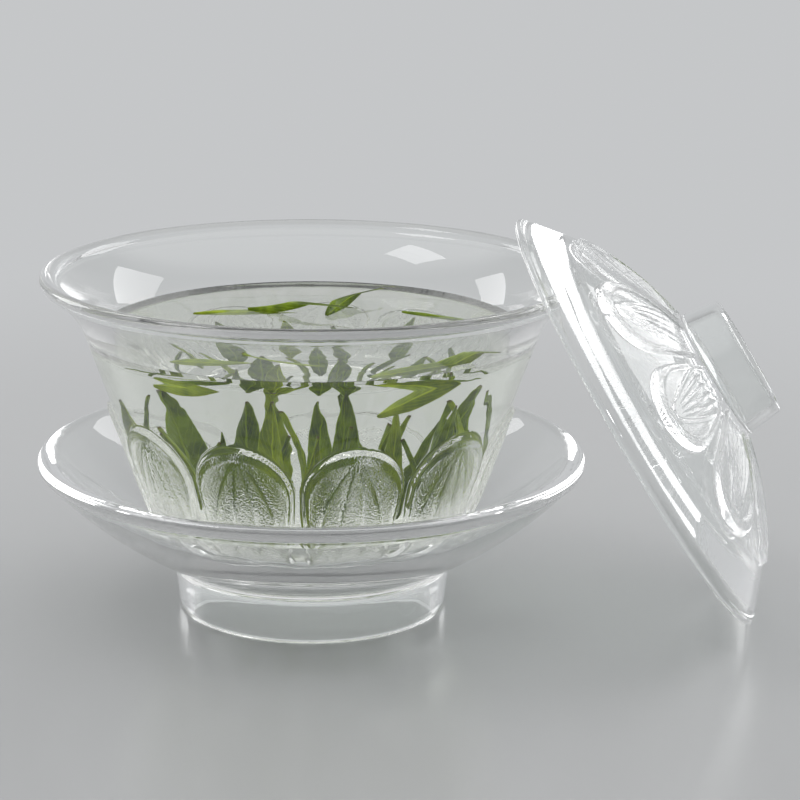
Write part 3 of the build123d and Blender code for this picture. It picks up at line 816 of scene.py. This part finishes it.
class GAIWAN_OT_leaves(bpy.types.Operator):
    """Tea leaves: most stand in the water, a few float"""

    bl_idname = "gaiwan.leaves"
    bl_label = "Leaves"

    def execute(self, context):
        tea = context.scene.gaiwan_tea
        wall = inner_wall(context.scene.gaiwan_glass)
        broad = leaf_blank("broad", tea.leaf_length, tea.leaf_width, 0.16, 0.05)
        slim = leaf_blank("slim", tea.leaf_length, tea.leaf_width * 0.62, 0.22, 0.04)
        bud = leaf_blank("bud", tea.leaf_length * 0.9, tea.leaf_width * 0.40, 0.42, 0.0)
        green = leaf_material("Leaf green", tea.deep, tea.young)
        light = leaf_material("Leaf young", [(a + b) / 2 for a, b in zip(tea.deep, tea.young)], tea.light)
        level = BOWL_BOX[1].z - tea.level
        dice = random.Random(tea.seed)
        # leaves that stand: stalk (x, y, height over the bowl's foot), lean, kind, colour, size, bend
        standing = [
            (-23.5, -8, 15, -0.14, -0.10, slim, green, 0.80, 0.3),
            (-19.5, -14, 14, -0.06, -0.12, bud, light, 0.66, -0.4),
            (-12.8, -17, 12, 0.10, -0.05, slim, green, 0.70, 0.4), (-8.8, -7, 11, 0.00, 0.00, broad, green, 0.98, 0.2),
            (-3.0, -17, 11, -0.19, -0.10, broad, light, 1.02, 0.3), (-1.0, -10, 12, 0.13, 0.05, bud, light, 0.98, 0.6),
            (0.6, -21, 7, 0.03, -0.06, slim, light, 0.95, -0.2), (3.0, -13, 12, 0.25, -0.05, broad, green, 1.04, 0.3),
            (8.8, -8, 12, -0.06, 0.08, bud, light, 0.85, -0.5), (13.6, -16, 11, 0.03, -0.12, slim, light, 0.98, 0.3),
            (17.0, -9, 12, 0.04, 0.00, broad, green, 0.92, -0.3), (20.3, -14, 11, 0.09, -0.12, slim, green, 0.98, 0.3),
            (23.5, -8, 13, 0.13, -0.05, broad, light, 0.88, 0.5), (26.0, -2, 13, 0.16, 0.03, slim, green, 0.90, -0.3),
            (-15.0, 8, 12, -0.12, 0.12, broad, green, 0.95, 0.3), (-5.0, 13, 12, -0.05, 0.14, slim, light, 1.00, 0.4),
            (5.5, 10, 11, 0.08, 0.10, broad, green, 1.00, -0.4), (15.0, 11, 12, 0.12, 0.14, slim, green, 1.00, 0.4),
            (-21.0, 2, 12, -0.16, 0.02, broad, light, 0.85, -0.3), (1.5, 1, 10, -0.03, 0.05, slim, green, 1.00, 0.5),
            (-12.0, -4, 8, -0.25, 0.08, slim, light, 0.90, -0.4), (11.5, 2, 9, 0.20, -0.04, bud, green, 1.00, 0.4),
            (-16.2, -12, 12, 0.08, -0.08, bud, light, 0.72, 0.5), (-6.0, -15, 11, 0.06, -0.06, slim, green, 0.78, -0.4),
            (6.2, -18, 10, -0.05, -0.08, slim, green, 0.86, 0.4), (10.8, -13, 11, 0.10, -0.04, slim, light, 0.90, 0.3),
            (18.6, -15, 11, -0.04, -0.10, bud, green, 0.84, 0.5), (22.0, -10, 12, 0.02, -0.06, slim, light, 0.80, -0.3)]
        for i, (x, y, z, lean_x, lean_y, kind, mat, scale, bend) in enumerate(standing):
            at = (x * MM, y * MM, BOWL_BOX[0].z + z * MM)
            face = dice.uniform(-0.7, 0.7) + math.pi * dice.randint(0, 1)
            one = blade(kind, mat, at, (lean_x, lean_y, 1), face, scale, bend, dice.uniform(-0.8, 0.8))
            seat("standing_leaf_%02d" % (i + 1), one, wall, level - 0.4 * MM)
        # leaves at the surface: stalk, way to the tip, kind, colour, size, bend and turn
        floating = [
            ((-24, -20, -3.2), (1.0, 0.02, -0.04), broad, light, 0.62, 0.4, 0.5),
            ((12, -24, -7.4), (0.85, 0.22, 0.40), slim, light, 1.05, 0.15, 0.9),
            ((-24, 12, 0.2), (1.0, 0.30, 0.04), slim, light, 0.90, -0.6, 0.3),
            ((-14, 17, 0.3), (1.0, -0.25, 0.10), bud, green, 1.05, 0.5, 0.2),
            ((2, 12, 0.2), (0.25, 0.90, 0.10), slim, green, 0.85, 0.6, 1.1),
            ((16, 17, 0.2), (0.85, -0.40, 0.05), bud, green, 0.95, -0.4, 0.2),
            ((4, -22, -1.2), (-0.9, 0.30, -0.15), bud, light, 0.80, 0.6, 0.5)]
        for i, (at, up, kind, mat, scale, bend, face) in enumerate(floating):
            at = (at[0] * MM, at[1] * MM, level + at[2] * MM)
            seat("floating_leaf_%d" % (i + 1), blade(kind, mat, at, up, face, scale, bend, 0.5), wall, level + 2 * MM)
        for obj in (broad, slim, bud):
            bpy.data.objects.remove(obj)
        return {"FINISHED"}


class GAIWAN_OT_stage(bpy.types.Operator):
    """Plain pale floor, soft studio light and the camera"""

    bl_idname = "gaiwan.stage"
    bl_label = "Stage"

    def execute(self, context):
        scene = context.scene
        studio = scene.gaiwan_studio
        pick_none()
        bpy.ops.mesh.primitive_circle_add(vertices=96, radius=6, fill_type="NGON", location=(0, 0, -0.02 * MM))
        floor = named("floor")
        mat, tree, base, add = shader("Floor")
        base.inputs["Base Color"].default_value = (*studio.floor, 1)
        base.inputs["Roughness"].default_value = 0.22
        # away from the gaiwan the floor turns into an even backdrop, from near to wide, in metres
        near, wide = 0.15, 0.33
        place = add("ShaderNodeTexCoord")
        far = add("ShaderNodeVectorMath", operation="LENGTH")
        path = add("ShaderNodeLightPath")
        even = add("ShaderNodeEmission")
        even.inputs["Color"].default_value = (*studio.backdrop, 1)
        mix = add("ShaderNodeMixShader")
        out = next(n for n in tree.nodes if n.type == "OUTPUT_MATERIAL")
        tree.links.new(place.outputs["Object"], far.inputs[0])
        fade = spread(tree, add, far.outputs["Value"], near, wide)
        fade.interpolation_type = "SMOOTHSTEP"
        seen = reckon(tree, add, "MAXIMUM", path.outputs["Is Camera Ray"], path.outputs["Is Glossy Ray"])
        seen = reckon(tree, add, "MAXIMUM", seen, path.outputs["Is Transmission Ray"])
        tree.links.new(reckon(tree, add, "MULTIPLY", seen, fade.outputs[0]), mix.inputs[0])
        tree.links.new(base.outputs[0], mix.inputs[1])
        tree.links.new(even.outputs[0], mix.inputs[2])
        tree.links.new(mix.outputs[0], out.inputs["Surface"])
        floor.data.materials.append(mat)

        world = bpy.data.worlds.new("Studio")
        scene.world = world
        world.use_nodes = True
        nodes, links = world.node_tree.nodes, world.node_tree.links
        back = next(n for n in nodes if n.type == "BACKGROUND")
        way = nodes.new("ShaderNodeTexCoord")
        split = nodes.new("ShaderNodeSeparateXYZ")
        ramp = nodes.new("ShaderNodeValToRGB")
        el = ramp.color_ramp.elements
        el[0].position, el[0].color = 0.0, (*studio.backdrop, 1)
        el[1].position, el[1].color = 1.0, (0.92, 0.92, 0.92, 1)
        el.new(0.30).color = (*studio.backdrop, 1)
        el.new(0.46).color = (0.40, 0.405, 0.41, 1)
        el.new(0.60).color = (0.36, 0.365, 0.37, 1)
        el.new(0.74).color = (0.88, 0.88, 0.88, 1)
        links.new(way.outputs["Generated"], split.inputs[0])
        links.new(split.outputs["Z"], ramp.inputs["Fac"])
        links.new(ramp.outputs["Color"], back.inputs["Color"])
        back.inputs["Strength"].default_value = 1.0

        lamps = [
            ("Right softbox", (0.46, 0.33, 0.30), (0, 0, 0.05), 0.36, 0.30, 1.05),
            ("Left softbox", (-0.49, 0.28, 0.28), (0, 0, 0.05), 0.22, 0.26, 0.62),
            ("Top softbox", (-0.30, 0.0, 0.60), (0, 0, 0.05), 0.20, 0.16, 0.40),
        ]
        for name, at, to, w, h, power in lamps:
            bpy.ops.object.light_add(type="AREA", location=at)
            lamp = bpy.context.active_object
            lamp.name = name
            lamp.data.shape = "RECTANGLE"
            lamp.data.size, lamp.data.size_y = w, h
            lamp.data.energy = power
            lamp.rotation_euler = (Vector(to) - Vector(at)).to_track_quat("-Z", "Y").to_euler()
            lamp.visible_camera = False
            lamp.visible_transmission = False

        ahead = Vector(studio.camera_to).normalized()
        right = ahead.cross(Vector((0, 0, 1))).normalized()
        up = right.cross(ahead)
        c, s = math.cos(studio.camera_roll), math.sin(studio.camera_roll)
        right, up = right * c + up * s, up * c - right * s
        bpy.ops.object.camera_add()
        camera = bpy.context.active_object
        camera.name = "Camera"
        camera.matrix_world = Matrix((right, up, -ahead)).transposed().to_4x4()
        camera.location = studio.camera_at
        camera.data.lens = studio.lens
        camera.data.sensor_width = 36
        camera.data.clip_start, camera.data.clip_end = 0.01, 30
        scene.camera = camera
        scene.view_settings.view_transform = "Standard"
        return {"FINISHED"}


class GAIWAN_PT_panel(bpy.types.Panel):
    """Gaiwan pieces and settings"""

    bl_label = "Gaiwan"
    bl_idname = "GAIWAN_PT_panel"
    bl_space_type = "VIEW_3D"
    bl_region_type = "UI"
    bl_category = "Gaiwan"

    def draw(self, context):
        layout = self.layout
        for piece in STEPS:
            layout.operator(piece.bl_idname)
        for group in (context.scene.gaiwan_glass, context.scene.gaiwan_tea, context.scene.gaiwan_studio):
            box = layout.box()
            for name in group.__annotations__:
                box.prop(group, name)


SETTINGS = {
    "gaiwan_glass": GaiwanGlassSettings,
    "gaiwan_tea": GaiwanTeaSettings,
    "gaiwan_studio": GaiwanStudioSettings,
}
STEPS = (GAIWAN_OT_stage, GAIWAN_OT_saucer, GAIWAN_OT_bowl, GAIWAN_OT_lid, GAIWAN_OT_tea, GAIWAN_OT_leaves)


def register():
    for cls in (*SETTINGS.values(), *STEPS, GAIWAN_PT_panel):
        bpy.utils.register_class(cls)
    for name, cls in SETTINGS.items():
        setattr(bpy.types.Scene, name, bpy.props.PointerProperty(type=cls))


def unregister():
    for name in SETTINGS:
        delattr(bpy.types.Scene, name)
    for cls in reversed((*SETTINGS.values(), *STEPS, GAIWAN_PT_panel)):
        bpy.utils.unregister_class(cls)


def main():
    """Builds the whole scene."""
    register()
    bpy.ops.gaiwan.stage()
    bpy.ops.gaiwan.saucer()
    bpy.ops.gaiwan.bowl()
    bpy.ops.gaiwan.lid()
    bpy.ops.gaiwan.tea()
    bpy.ops.gaiwan.leaves()


if __name__ == "__main__":
    main()
